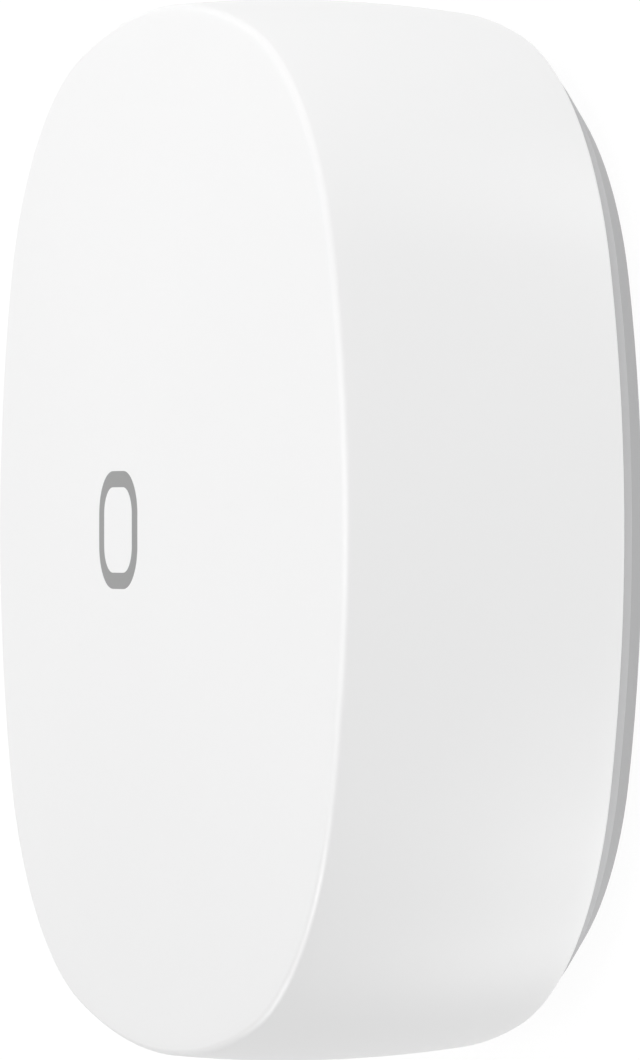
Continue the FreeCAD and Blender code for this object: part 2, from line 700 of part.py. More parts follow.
NODES = {
    "button_cap": [button_cap],
    "mark_ring": [mark_ring],
    "light_guide": [light_guide()],
    "base_shell": [base_shell()],
    "battery_door": [battery_door()],
    "mount_magnets": mount_magnets(),
    "cell_can": [cell_can],
    "cell_gasket": [cell_gasket],
    "cell_lid": [cell_lid],
    "side_contact": [side_contact()],
    "top_contact": [top_contact()],
    "main_board": [main_board()],
    "board_screws": board_screws(),
    "shield_can": [shield_can()],
    "radio_chip": [on_board(RADIO_CHIP)],
    "crystal": [on_board(CRYSTAL)],
    "chip_antenna": [on_board(ANTENNA)],
    "status_lamp": [status_lamp()],
    "chip_capacitors": [on_board(chip) for chip in CHIP_CAPACITORS],
    "chip_resistors": [on_board(chip) for chip in CHIP_RESISTORS],
    "switch_housing": [switch_housing],
    "switch_cover": [switch_cover],
    "switch_dome": [switch_dome],
    "switch_stem": [switch_stem],
    "switch_leads": switch_leads(),
    "reset_switch_body": [reset_switch_body],
    "reset_switch_stem": [reset_switch_stem],
    "reset_button": [reset_button],
}

os.makedirs("parts", exist_ok=True)
for name, pieces in NODES.items():
    solids = [solid for piece in pieces for solid in piece.Solids]
    shape = solids[0] if len(solids) == 1 else Part.makeCompound(solids)
    shape.exportStep(os.path.join("parts", name + ".step"))
    print(name, "solids", len(solids), "volume", round(shape.Volume, 3), "valid", shape.isValid())
print("rim half width", round(rim_half, 3), "rim height", round(rim_z, 3), "overall height", round(apex_z, 3))
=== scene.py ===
# %% [markdown]
# # A smart button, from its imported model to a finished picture
#
# The real object is a white, pillow-shaped push button on a grey base. The whole white cap is the
# button: it travels a few tenths of a millimetre. The frame that is loaded here holds every piece at
# its real size and place. Blender's part of the work is the surfaces: smooth shells, small moulded
# edges, and a finish for each material.

# %% Load the frame
import math

import bmesh
import bpy
from mathutils import Matrix, Vector


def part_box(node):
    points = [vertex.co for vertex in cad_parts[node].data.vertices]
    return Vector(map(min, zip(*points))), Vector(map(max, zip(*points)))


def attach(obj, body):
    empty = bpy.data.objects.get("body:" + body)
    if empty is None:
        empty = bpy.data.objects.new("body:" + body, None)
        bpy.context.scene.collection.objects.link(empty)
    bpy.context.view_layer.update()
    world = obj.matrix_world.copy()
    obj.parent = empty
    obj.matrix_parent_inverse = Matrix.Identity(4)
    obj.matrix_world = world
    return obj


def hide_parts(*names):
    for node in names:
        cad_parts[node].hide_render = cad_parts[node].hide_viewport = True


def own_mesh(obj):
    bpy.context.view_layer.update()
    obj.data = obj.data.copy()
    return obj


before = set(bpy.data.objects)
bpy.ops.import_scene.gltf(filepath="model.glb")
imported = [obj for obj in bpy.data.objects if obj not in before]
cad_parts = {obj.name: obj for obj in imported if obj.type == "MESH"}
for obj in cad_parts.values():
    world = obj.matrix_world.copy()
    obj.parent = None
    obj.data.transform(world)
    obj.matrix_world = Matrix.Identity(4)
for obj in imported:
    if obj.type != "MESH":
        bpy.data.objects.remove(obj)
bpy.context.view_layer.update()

MM = 0.001

# %% [markdown]
# ## The camera
#
# The photo looks at the button from the side and a little from the front, through a long lens, so
# near and far edges keep almost the same size. The picture's upright direction is the button's +Y,
# while its back lies on the floor, so the camera is rolled by a quarter turn. A matrix made from the
# three directions right, up and back says this without any angles to untangle.

# %% Camera
CAMERA_DISTANCE = 317.9 * MM
CAMERA_ELEVATION = math.radians(20.22)
CAMERA_AIM = Vector((0, 0, 5.9 * MM))
LENS = 285

look_back = Vector((math.cos(CAMERA_ELEVATION), 0, math.sin(CAMERA_ELEVATION)))
picture_up = Vector((0, 1, 0))
picture_right = picture_up.cross(look_back)
camera = bpy.data.objects.new("camera", bpy.data.cameras.new("camera"))
camera.matrix_world = Matrix((picture_right, picture_up, look_back)).transposed().to_4x4()
camera.location = CAMERA_AIM + look_back * CAMERA_DISTANCE
camera.data.lens = LENS
camera.data.clip_start = 1 * MM
bpy.context.scene.collection.objects.link(camera)
bpy.context.scene.camera = camera
bpy.context.scene.view_settings.view_transform = "Standard"
print("the camera stands at", [round(place / MM, 1) for place in camera.location], "mm")

# %% [markdown]
# ## Colours and nodes
#
# Colours are written as they look on a screen, in hex, and the shader wants linear light, so one
# function converts them. One more function adds a node, sets it and links it in a single call, which
# keeps each material down to the few lines that say what is special about it.

# %% Helpers for materials


def linear(hex_colour):
    """A screen colour such as "#C0C0C2" as linear red, green, blue and 1."""
    channels = [int(hex_colour[start:start + 2], 16) / 255 for start in (1, 3, 5)]
    return [c / 12.92 if c < 0.04045 else ((c + 0.055) / 1.055) ** 2.4 for c in channels] + [1]


def add(tree, kind, inputs=None, **settings):
    """Adds a node. Inputs are values or other nodes' outputs, settings are the node's own fields."""
    node = tree.nodes.new("ShaderNode" + kind)
    for name, value in settings.items():
        setattr(node, name, value)
    for name, value in (inputs or {}).items():
        if isinstance(value, bpy.types.NodeSocket):
            tree.links.new(value, node.inputs[name])
        else:
            node.inputs[name].default_value = value
    return node


# %% [markdown]
# ## The room
#
# The photograph has no room, only white. Here the world is white to the camera, to mirrors and to
# glass. As a light it is dimmer from above, and from below it is as bright as the light that a white
# table sends back. The floor is a pale sheet that the button lies on, white with a soft shadow round
# the button. Only the camera sees it, and only from above. All other rays pass through it, so that
# lamps can stand below, and the button's back can be looked at.

# %% World
SKY_LIGHT = 0.55
BOUNCE_LIGHT = 1.0

world = bpy.data.worlds.new("white_studio")
bpy.context.scene.world = world
world.use_nodes = True
tree = world.node_tree
tree.nodes.clear()
path = add(tree, "LightPath")
seen = add(tree, "Math", {0: path.outputs["Is Camera Ray"], 1: path.outputs["Is Glossy Ray"]})
seen = add(tree, "Math", {0: seen.outputs[0], 1: path.outputs["Is Transmission Ray"]},
           use_clamp=True)
way = add(tree, "TexCoord").outputs["Generated"]
height = add(tree, "SeparateXYZ", {"Vector": way}).outputs["Z"]
level = add(tree, "MapRange", {"Value": height, "From Min": -1, "From Max": 0,
                               "To Min": BOUNCE_LIGHT, "To Max": SKY_LIGHT})
strength = add(tree, "MapRange", {"Value": seen.outputs[0], "To Min": level.outputs[0],
                                  "To Max": 1})
white = add(tree, "Background", {"Color": (1, 1, 1, 1), "Strength": strength.outputs[0]})
add(tree, "OutputWorld", {"Surface": white.outputs[0]})

# %% Floor
FLOOR_HALF = 1500 * MM
FLOOR_DROP = 0.02 * MM
FLOOR_SHADE = 0.1
FLOOR_LIGHT = 0.7

bm = bmesh.new()
bmesh.ops.create_grid(bm, x_segments=1, y_segments=1, size=FLOOR_HALF)
bmesh.ops.translate(bm, vec=(0, 0, -FLOOR_DROP), verts=bm.verts)
floor_mesh = bpy.data.meshes.new("floor")
bm.to_mesh(floor_mesh)
bm.free()
floor = bpy.data.objects.new("floor", floor_mesh)
bpy.context.scene.collection.objects.link(floor)

paper = bpy.data.materials.new("white_paper_floor")
paper.use_nodes = True
tree = paper.node_tree
tree.nodes.clear()
path = add(tree, "LightPath")
side = add(tree, "NewGeometry")
shaded = add(tree, "BsdfDiffuse", {"Color": (FLOOR_SHADE, FLOOR_SHADE, FLOOR_SHADE, 1)})
glow = add(tree, "Emission", {"Color": (1, 1, 1, 1), "Strength": 1 - FLOOR_SHADE * FLOOR_LIGHT})
sheet = add(tree, "AddShader", {0: shaded.outputs[0], 1: glow.outputs[0]})
through = add(tree, "BsdfTransparent")
front = add(tree, "Math", {0: path.outputs["Is Camera Ray"], 1: side.outputs["Backfacing"]},
            operation="SUBTRACT", use_clamp=True)
mixed = add(tree, "MixShader", {0: front.outputs[0], 1: through.outputs[0], 2: sheet.outputs[0]})
add(tree, "OutputMaterial", {"Surface": mixed.outputs[0]})
floor_mesh.materials.append(paper)

# %% [markdown]
# ## The lamps
#
# White on white shows its form only by slow changes of grey, so every lamp is large and soft. The
# key hangs over the picture's top, towards the face. A weaker lamp looks straight at the face, and
# fills stand at the side, at the rear and low down. What looks like form in such a picture is partly
# gloss: the thin light line along the rim, and the soft light patches on the rear half of the wall,
# one above and one below. A spot on the skin shows a lamp where it faces halfway between the lamp and
# the camera. So each gloss lamp stands where a mirror on its spot would send the camera's ray. The
# spot is given by two angles: its turn about Z, from the side that the camera sees, and its lean away
# from Z. These lamps show only in gloss. The key shows only in the even light, because its own
# reflection would burn out the rim.

# %% Lamps
LAMPS = {
    "key_lamp": ((0, 560, 420), 700, 2.5),
    "face_lamp": ((0, 0, 700), 400, 0.93),
    "side_lamp": ((626, 0, 313), 400, 0.57),
    "rear_lamp": ((600, 0, -360), 500, 0.5),
    "low_lamp": ((456, -456, -273), 500, 0.17),
}
GLOSS_LAMPS = {
    "rim_lamp": (0, 50, 300, 1.5),
    "rim_corner_lamp": (-32, 50, 300, 2.6),
    "rim_low_lamp": (-58, 50, 300, 1.3),
    "wall_top_lamp": (25, 102, 400, 0.9),
    "wall_low_lamp": (-22, 102, 400, 1.4),
    "wall_corner_lamp": (-42, 102, 400, 1.2),
}
LAMP_DISTANCE = 700


def lamp(name, place, size, power):
    """A square soft lamp that faces the button. Place and size are in millimetres."""
    light = bpy.data.lights.new(name, "AREA")
    light.shape = "SQUARE"
    light.size = size * MM
    light.energy = power
    made = bpy.data.objects.new(name, light)
    made.location = Vector(place) * MM
    made.rotation_euler = Vector(place).to_track_quat("Z", "Y").to_euler()
    bpy.context.scene.collection.objects.link(made)
    return made


for name, (place, size, power) in LAMPS.items():
    lamp(name, place, size, power)
bpy.data.objects["key_lamp"].visible_glossy = False
for name, (turn, lean, size, power) in GLOSS_LAMPS.items():
    leaning = Matrix.Rotation(math.radians(lean), 3, "Y") @ Vector((0, 0, 1))
    normal = Matrix.Rotation(math.radians(turn), 3, "Z") @ leaning
    mirrored = 2 * normal.dot(look_back) * normal - look_back
    lamp(name, mirrored * LAMP_DISTANCE, size, power).visible_diffuse = False
print(len(LAMPS), "lamps give the even light and", len(GLOSS_LAMPS), "the gloss")

# %% [markdown]
# ## The outline of the cap
#
# Seen from the front the cap is a soft square: four long side arcs that run into four corner arcs.
# A subdivision cage could come close to it, but the outline has real radii, and every ring of the cap
# is the same outline moved in or out. So one function draws such a ring, by spinning a single vertex
# eight times, each time about the centre of the next arc. Two rings with equally many vertices are
# then easy to join.

# %% Sizes of the cap, in millimetres
cap_low, cap_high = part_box("button_cap")
REAR_Z = cap_low.z / MM
APEX_Z = cap_high.z / MM
FACE_DOME = 1.75
RIM_Z = APEX_Z - FACE_DOME
RIM_HALF = 19.72
SIDE_RADIUS = 35.08
CORNER_RADIUS = 12.65
REAR_TAPER = 0.07
BARREL = 0.3135
RIM_ROUND = 0.33
REAR_ROUND = 0.15
print("the cap reaches from", round(REAR_Z, 3), "to", round(APEX_Z, 3), "mm")

# %% One ring of the outline
ARC_STEPS = 28
WELD_MM = 0.0005
HARD_EDGE = math.radians(30)


def arc_places(half, side_r, corner_r):
    """The arcs' centres along their axis and their diagonal, and the angle where they meet."""
    side_centre = half - side_r
    spread = side_r - corner_r
    corner_centre = (side_centre + math.sqrt(2 * spread ** 2 - side_centre ** 2)) / 2
    return side_centre, corner_centre, math.atan2(corner_centre, corner_centre - side_centre)


def add_to(bm, part):
    """Adds a small bmesh to a large one, because an operator takes longer in a large one."""
    scratch = bpy.data.meshes.new("scratch")
    part.to_mesh(scratch)
    part.free()
    older = len(bm.edges)
    bm.from_mesh(scratch)
    bpy.data.meshes.remove(scratch)
    bm.edges.ensure_lookup_table()
    return bm.edges[older:]


def ring(bm, half, side_r, corner_r, height):
    """A closed ring of eight arcs at this height, spun from one vertex. Returns its edges."""
    side_centre, corner_centre, meet = arc_places(half, side_r, corner_r)
    arcs = (((side_centre, 0), 2 * meet), ((corner_centre, corner_centre), math.pi / 2 - 2 * meet))
    start = Vector((side_centre + side_r * math.cos(meet), -side_r * math.sin(meet), height))
    alone = bmesh.new()
    first = tip = alone.verts.new(start * MM)
    for quarter in range(4):
        turn = Matrix.Rotation(quarter * math.pi / 2, 3, "Z")
        for centre, angle in arcs:
            middle = turn @ Vector((*centre, height)) * MM
            arc = bmesh.ops.spin(alone, geom=[tip], cent=middle, axis=(0, 0, 1), angle=angle,
                                 steps=ARC_STEPS)
            tip = arc["geom_last"][0]
    bmesh.ops.weld_verts(alone, targetmap={tip: first})
    return add_to(bm, alone)


def even_ring(bm, half, height):
    """The outline moved evenly in or out from the rim of the face."""
    growth = half - RIM_HALF
    return ring(bm, half, SIDE_RADIUS + growth, CORNER_RADIUS + growth, height)


def scaled_ring(bm, half, height, share):
    """The outline of this half width, shrunk towards the middle."""
    growth = half - RIM_HALF
    side_r, corner_r = (SIDE_RADIUS + growth) * share, (CORNER_RADIUS + growth) * share
    return ring(bm, half * share, side_r, corner_r, height)


def join_rings(bm, rings):
    """Walls between each ring and the next."""
    for one, other in zip(rings, rings[1:]):
        bmesh.ops.bridge_loops(bm, edges=one + other)


def close_ring(bm, edges):
    """A fan of faces round one vertex in the middle of a ring."""
    cover = bmesh.ops.edgeloop_fill(bm, edges=edges)["faces"]
    bmesh.ops.poke(bm, faces=cover)


def shade_smoothly(mesh):
    """Smooth faces, with hard edges where the surface turns sharply. Drops the normals of a cut."""
    if "custom_normal" in mesh.attributes:
        mesh.attributes.remove(mesh.attributes["custom_normal"])
    mesh.shade_smooth()
    mesh.set_sharp_from_angle(angle=HARD_EDGE)


def settle_order(bm):
    """Sorts a mesh by place, because a bevel leaves its parts in another order in each run."""
    for rank, vert in enumerate(sorted(bm.verts, key=lambda vert: tuple(vert.co))):
        vert.index = rank
    bm.verts.sort()
    for parts in (bm.edges, bm.faces):
        ranked = sorted(parts, key=lambda part: sorted(vert.index for vert in part.verts))
        for rank, part in enumerate(ranked):
            part.index = rank
        parts.sort()


def finished_piece(name, bm):
    """Makes an object of a mesh whose doubles are merged and whose faces look outwards."""
    bmesh.ops.remove_doubles(bm, verts=bm.verts, dist=WELD_MM * MM)
    bmesh.ops.recalc_face_normals(bm, faces=bm.faces)
    mesh = bpy.data.meshes.new(name)
    bm.to_mesh(mesh)
    bm.free()
    shade_smoothly(mesh)
    piece = bpy.data.objects.new(name, mesh)
    bpy.context.scene.collection.objects.link(piece)
    return piece


# %% [markdown]
# ## The face as a height
#
# The face is a very shallow dome. Its height falls with the square of the way from the middle to the
# rim, whichever direction that way takes. The mark in the middle has an outline of its own, so its
# vertices need the dome's height at any place, and this function gives it.

# %% Height of the face


def way_to_rim(x, y):
    """The share of the way from the middle of the face to its rim, 0 to 1."""
    distance = math.hypot(x, y)
    if distance == 0:
        return 0.0
    across, along = sorted((abs(x) / distance, abs(y) / distance), reverse=True)
    side_centre, corner_centre, meet = arc_places(RIM_HALF, SIDE_RADIUS, CORNER_RADIUS)
    reach = across * side_centre + math.sqrt(SIDE_RADIUS ** 2 - (side_centre * along) ** 2)
    if math.atan2(reach * along, reach * across - side_centre) > meet:
        nearest = corner_centre * (across + along)
        offset = corner_centre * (across - along)
        reach = nearest + math.sqrt(CORNER_RADIUS ** 2 - offset ** 2)
    return distance / reach


def face_height(x, y):
    return RIM_Z + FACE_DOME * (1 - way_to_rim(x, y) ** 2)


print("the face is", round(face_height(10, 10), 3), "mm high halfway to a corner")

# %% [markdown]
# ## The cap's outside
#
# The whole skin is one chain of rings: up the barrel-shaped wall, over the rim, in over the dome,
# down into the groove of the mark, and up again to the pole. Bevels then round the rim and the rear
# edge. Their offset is the length of the tangent, so that the rounding has the radius of the real one.

# %% Skin of the cap
MARK_HALF = 2.215
MARK_CORNER = 1.62
MARK_STROKE = 0.61
MARK_DEPTH = 0.5
STRAIGHT = 200.0
WALL_RINGS = 12
FACE_RINGS = 20
FACE_END = 0.16
POLE_SHARES = (0.045, 0.02)
RIM_SEGMENTS = 10
REAR_SEGMENTS = 6
LEVEL_SLACK = 0.001
REACH_SLACK = 0.01


def wall_half(share):
    """Half width of the side wall: 0 is the rim of the face, 1 is the rear edge."""
    return RIM_HALF - REAR_TAPER * share + BARREL * 4 * share * (1 - share)


def mark_ring(bm, inset, height=None):
    """The mark's outline, moved in by this much. It follows the face where no height is given."""
    edges = ring(bm, MARK_HALF - inset, STRAIGHT - inset, MARK_CORNER - inset, height or 0)
    if height is None:
        for vert in {vert for edge in edges for vert in edge.verts}:
            vert.co.z = face_height(vert.co.x / MM, vert.co.y / MM) * MM
    return edges


def round_edges(bm, edges, radius, turn, segments):
    """Rounds edges where the surface turns by this angle, in degrees."""
    offset = radius * math.tan(math.radians(turn) / 2)
    bmesh.ops.bevel(bm, geom=edges, offset=offset * MM, offset_type="OFFSET", affect="EDGES",
                    segments=segments, profile=0.5, material=-1, clamp_overlap=False)


def at_height(bm, height, half):
    """The edges between two faces at this height, at this half width from the middle or beyond it."""
    found = []
    for edge in bm.edges:
        level = all(abs(vert.co.z / MM - height) < LEVEL_SLACK for vert in edge.verts)
        if level and all(vert.co.xy.length / MM > half - REACH_SLACK for vert in edge.verts):
            if len(edge.link_faces) == 2:
                found.append(edge)
    return found


bm = bmesh.new()
wall = [even_ring(bm, wall_half(k / WALL_RINGS), RIM_Z + (REAR_Z - RIM_Z) * k / WALL_RINGS)
        for k in range(WALL_RINGS, -1, -1)]
face = []
for k in range(1, FACE_RINGS + 1):
    share = 1 + (FACE_END - 1) * k / FACE_RINGS
    face.append(scaled_ring(bm, RIM_HALF, RIM_Z + FACE_DOME * (1 - share ** 2), share))
groove_z = APEX_Z - MARK_DEPTH
groove = [mark_ring(bm, 0), mark_ring(bm, 0, groove_z), mark_ring(bm, MARK_STROKE, groove_z),
          mark_ring(bm, MARK_STROKE)]
pole = [scaled_ring(bm, RIM_HALF, RIM_Z + FACE_DOME * (1 - share ** 2), share)
        for share in POLE_SHARES]
join_rings(bm, wall + face + groove + pole)
close_ring(bm, pole[-1])
bmesh.ops.edgeloop_fill(bm, edges=wall[0])
bmesh.ops.recalc_face_normals(bm, faces=bm.faces)
face_slope = math.degrees(math.atan(2 * FACE_DOME / RIM_HALF))
wall_slope = math.degrees(math.atan(4 * BARREL / (RIM_Z - REAR_Z)))
rim_turn = 90 - face_slope - wall_slope
rear_turn = 90 + wall_slope
round_edges(bm, at_height(bm, RIM_Z, RIM_HALF), RIM_ROUND, rim_turn, RIM_SEGMENTS)
round_edges(bm, at_height(bm, REAR_Z, wall_half(1)), REAR_ROUND, rear_turn, REAR_SEGMENTS)
settle_order(bm)
skin = finished_piece("cap", bm)
print("the skin has", len(skin.data.polygons), "faces")
print("at the rim the surface turns by", round(rim_turn, 1), "degrees")

# %% [markdown]
# ## The cap's inside
#
# Ribs, hooks, a land and a pip stand inside the cap, all of them already right in the frame. So the
# hollow is taken from there: a core as large as fits inside the cap's walls, less the frame's cap, is
# exactly the air in it, and the skin less that air is the cap. The core sits a hair lower, so that no
# two faces lie in one plane.

# %% Hollow of the cap
CORE_HALF = 19.3
CORE_BOTTOM_Z = 0.6
CORE_EDGE_Z = 11.6
CORE_TOP_Z = 13.0
CORE_SHARES = (0.8, 0.6, 0.4, 0.2)
HAIR = 0.002
FLAT_ANGLE = math.radians(0.2)


def merged_copy(node_name):
    """A closed copy of a node's mesh, as a bmesh: its loose triangles welded and flat faces joined."""
    bm = bmesh.new()
    bm.from_mesh(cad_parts[node_name].data)
    bmesh.ops.remove_doubles(bm, verts=bm.verts, dist=WELD_MM * MM)
    bmesh.ops.dissolve_limit(bm, angle_limit=FLAT_ANGLE, verts=bm.verts, edges=bm.edges)
    return bm


def cut(piece, cutter):
    """Takes the cutter away from the piece, and then deletes the cutter."""
    step = piece.modifiers.new("cut", "BOOLEAN")
    step.operation = "DIFFERENCE"
    step.solver = "EXACT"
    step.object = cutter
    seen = piece.evaluated_get(bpy.context.evaluated_depsgraph_get())
    result = bpy.data.meshes.new_from_object(seen)
    piece.modifiers.remove(step)
    piece.data = result
    bpy.data.objects.remove(cutter)


bm = bmesh.new()
core_rings = [even_ring(bm, CORE_HALF, CORE_BOTTOM_Z), even_ring(bm, CORE_HALF, CORE_EDGE_Z)]
for share in CORE_SHARES:
    height = CORE_EDGE_Z + (CORE_TOP_Z - CORE_EDGE_Z) * (1 - share ** 2)
    core_rings.append(scaled_ring(bm, CORE_HALF, height, share))
join_rings(bm, core_rings)
close_ring(bm, core_rings[-1])
bmesh.ops.edgeloop_fill(bm, edges=core_rings[0])
core = finished_piece("core", bm)

bm = merged_copy("button_cap")
bmesh.ops.translate(bm, vec=(0, 0, -HAIR * MM), verts=bm.verts)
cap_inside = finished_piece("cap_inside", bm)
cut(core, cap_inside)
cut(skin, core)
shade_smoothly(skin.data)
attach(skin, "cap")
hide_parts("button_cap")
print("the hollow cap has", len(skin.data.polygons), "faces")

# %% [markdown]
# ## The mark
#
# A plain rounded square ring is let into the face, as a second shot of grey plastic. It fills its
# groove, and its top runs on with the dome, so it is a closed loop of four rings.

# %% Mark
bm = bmesh.new()
loop = [mark_ring(bm, 0), mark_ring(bm, MARK_STROKE / 2), mark_ring(bm, MARK_STROKE),
        mark_ring(bm, MARK_STROKE, groove_z), mark_ring(bm, 0, groove_z)]
join_rings(bm, loop + loop[:1])
mark = finished_piece("mark", bm)
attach(mark, "cap")
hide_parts("mark_ring")
print("the mark has", len(mark.data.polygons), "faces")

# %% [markdown]
# ## Moulded plastic
#
# The cap is injection-moulded ABS from a satin mould. Such a skin is white all through, spreads light
# widely and has a soft gloss. Its grain is a few hundredths of a millimetre, too fine for the picture,
# so it is drawn four times as coarse and very shallow, which only softens the gloss. The base is the
# same plastic in grey, from a spark-eroded mould with a deeper grain. Nylon and polypropylene come
# from moulds too, and turned acetal and fired ceramic differ from them only in numbers. So one
# function makes them all, from a colour, a gloss and a grain.

# %% Plastics
GLOSS_SPREAD = 0.03


def start_material(name):
    """A new material with its shader: returns the material, its node tree and the shader node."""
    material = bpy.data.materials.new(name)
    material.use_nodes = True
    return material, material.node_tree, material.node_tree.nodes["Principled BSDF"]


def moulded_plastic(name, hex_colour, roughness, grain_mm, grain_depth_mm, tint=0.01, cloud_mm=6,
                    ior=1.54):
    """Plastic with a mould's grain, a slightly uneven gloss and a hardly visible mottle of colour."""
    material, tree, shader = start_material(name)
    shader.inputs["IOR"].default_value = ior
    place = add(tree, "TexCoord").outputs["Object"]
    cloud = add(tree, "TexNoise", {"Vector": place, "Scale": 1 / (cloud_mm * MM), "Detail": 3.0})
    gloss = add(tree, "MapRange", {"Value": cloud.outputs["Fac"], "To Min": roughness - GLOSS_SPREAD,
                                   "To Max": roughness + GLOSS_SPREAD})
    tree.links.new(gloss.outputs[0], shader.inputs["Roughness"])
    colour = linear(hex_colour)
    darker = [channel * (1 - tint) for channel in colour[:3]] + [1]
    mottle = add(tree, "Mix", {"Factor": cloud.outputs["Fac"]}, data_type="RGBA")
    mottle.inputs["A"].default_value = darker
    mottle.inputs["B"].default_value = colour
    tree.links.new(mottle.outputs["Result"], shader.inputs["Base Color"])
    grain = add(tree, "TexNoise", {"Vector": place, "Scale": 1 / (grain_mm * MM), "Detail": 2.0})
    bump = add(tree, "Bump", {"Height": grain.outputs["Fac"], "Distance": grain_depth_mm * MM,
                              "Strength": 1.0})
    tree.links.new(bump.outputs[0], shader.inputs["Normal"])
    return material


white_abs = moulded_plastic("satin_white_moulded_abs", "#F0F0F0", 0.42, 0.12, 0.0008)
mark_abs = moulded_plastic("grey_second_shot_abs", "#8A8A8A", 0.42, 0.12, 0.0008)
grey_abs = moulded_plastic("spark_textured_grey_abs", "#A4A4A5", 0.5, 0.15, 0.003)
door_abs = moulded_plastic("spark_textured_grey_abs_door", "#A1A1A2", 0.52, 0.15, 0.003)
black_nylon = moulded_plastic("glass_filled_black_nylon", "#2A2B2D", 0.55, 0.1, 0.004,
                              tint=0.2, cloud_mm=0.6)
white_acetal = moulded_plastic("machined_white_acetal", "#E4E3DE", 0.35, 0.08, 0.002,
                               tint=0.03, cloud_mm=1.5, ior=1.48)
gasket_pp = moulded_plastic("moulded_polypropylene_gasket", "#3A3C3F", 0.4, 0.1, 0.002,
                            tint=0.1, cloud_mm=1.5, ior=1.49)
black_epoxy = moulded_plastic("transfer_moulded_black_epoxy", "#222325", 0.6, 0.06, 0.003,
                              tint=0.25, cloud_mm=0.4, ior=1.56)

# %% [markdown]
# ## The base's upright edge
#
# Just behind the cap the base shows a narrow upright edge, and the bevel starts below it. The edge
#  looks lighter than the spark-textured bevel, but under the cap's overhang the lamps leave it darker,
#  so its lighter grey is painted light. The grey's colour steps up with the height, where the bevel
#  ends.

# %% Painted light on the upright edge
EDGE_Z = 0.885
EDGE_BLEND = 0.02
tree = grey_abs.node_tree
shader = tree.nodes["Principled BSDF"]
mottled = shader.inputs["Base Color"].links[0].from_socket
place = add(tree, "TexCoord").outputs["Object"]
height = add(tree, "SeparateXYZ", {"Vector": place}).outputs["Z"]
# Painted light: a mask that is 1 on the base's upright edge, above the bevel.
painted_light_mask = add(tree, "MapRange", {"Value": height, "From Min": (EDGE_Z - EDGE_BLEND) * MM,
                               "From Max": EDGE_Z * MM})
grey_with_painted_light = add(tree, "Mix", {"Factor": painted_light_mask.outputs[0], "A": mottled}, data_type="RGBA")
# Painted light: the lighter grey that stands in for the light the upright edge catches.
grey_with_painted_light.inputs["B"].default_value = linear("#C2C2C3")
tree.links.new(grey_with_painted_light.outputs["Result"], shader.inputs["Base Color"])

# %% [markdown]
# ## Clear polycarbonate
#
# The light guide carries the status lamp's light to the mark. It is clear polycarbonate with polished
# faces: light goes through, and faint flow lines from the moulding bend it a little.

# %% Light guide
FLOW_MM = 2.4
FLOW_DEPTH_MM = 0.004
clear_pc, tree, shader = start_material("polished_clear_polycarbonate")
shader.inputs["IOR"].default_value = 1.585
shader.inputs["Transmission Weight"].default_value = 1.0
place = add(tree, "TexCoord").outputs["Object"]
flow = add(tree, "TexWave", {"Vector": place, "Scale": 1 / (FLOW_MM * MM), "Distortion": 3.0,
                             "Detail": 2.0})
gloss = add(tree, "MapRange", {"Value": flow.outputs["Fac"], "To Min": 0.04, "To Max": 0.12})
tint = add(tree, "Mix", {"Factor": flow.outputs["Fac"]}, data_type="RGBA")
tint.inputs["A"].default_value = linear("#F3F7F8")
tint.inputs["B"].default_value = linear("#E9F1F3")
ripple = add(tree, "Bump", {"Height": flow.outputs["Fac"], "Distance": FLOW_DEPTH_MM * MM,
                            "Strength": 1.0})
tree.links.new(gloss.outputs[0], shader.inputs["Roughness"])
tree.links.new(tint.outputs["Result"], shader.inputs["Base Color"])
tree.links.new(ripple.outputs[0], shader.inputs["Normal"])

# %% [markdown]
# ## Plated and rolled metal
#
# The cell, its springs, the magnets, the shield, the screws and the switch's cover are thin sheet or
# small turned parts with a plated skin. What the eye sees is a broken-up gloss: fine drawn scratches
# along one direction over soft clouds of duller plating. Stretched noise gives the scratches, with a
# Mapping node that squeezes the pattern across the drawing direction.

# %% Metals
PLATING_CLOUD_MM = 1.8
DULL_SHARE = 0.88
SCRATCHED_RANGE = (0.1, 0.45)
POLISHED_BELOW = 0.08
DULLED_ABOVE = 0.12


def plated_metal(name, hex_colour, roughness, scratch_mm, stretch=(1, 12, 1), depth_mm=0.0015):
    """A metal with drawn scratches of this width, along the direction with the small stretch."""
    material, tree, shader = start_material(name)
    shader.inputs["Metallic"].default_value = 1.0
    place = add(tree, "TexCoord").outputs["Object"]
    drawn = add(tree, "Mapping", {"Vector": place, "Scale": stretch})
    fineness = 1 / (scratch_mm * stretch[1] * MM)
    scratch = add(tree, "TexNoise", {"Vector": drawn.outputs[0], "Scale": fineness, "Detail": 4.0,
                                     "Roughness": 0.6})
    cloud = add(tree, "TexNoise", {"Vector": place, "Scale": 1 / (PLATING_CLOUD_MM * MM),
                                   "Detail": 3.0})
    uneven = add(tree, "Math", {0: scratch.outputs["Fac"], 1: cloud.outputs["Fac"]},
                 operation="MULTIPLY")
    low, high = SCRATCHED_RANGE
    gloss = add(tree, "MapRange", {"Value": uneven.outputs[0], "From Min": low, "From Max": high,
                                   "To Min": roughness - POLISHED_BELOW,
                                   "To Max": roughness + DULLED_ABOVE})
    tree.links.new(gloss.outputs[0], shader.inputs["Roughness"])
    colour = linear(hex_colour)
    tone = add(tree, "Mix", {"Factor": cloud.outputs["Fac"]}, data_type="RGBA")
    tone.inputs["A"].default_value = [channel * DULL_SHARE for channel in colour[:3]] + [1]
    tone.inputs["B"].default_value = colour
    tree.links.new(tone.outputs["Result"], shader.inputs["Base Color"])
    bump = add(tree, "Bump", {"Height": scratch.outputs["Fac"], "Distance": depth_mm * MM,
                              "Strength": 1.0})
    tree.links.new(bump.outputs[0], shader.inputs["Normal"])
    return material


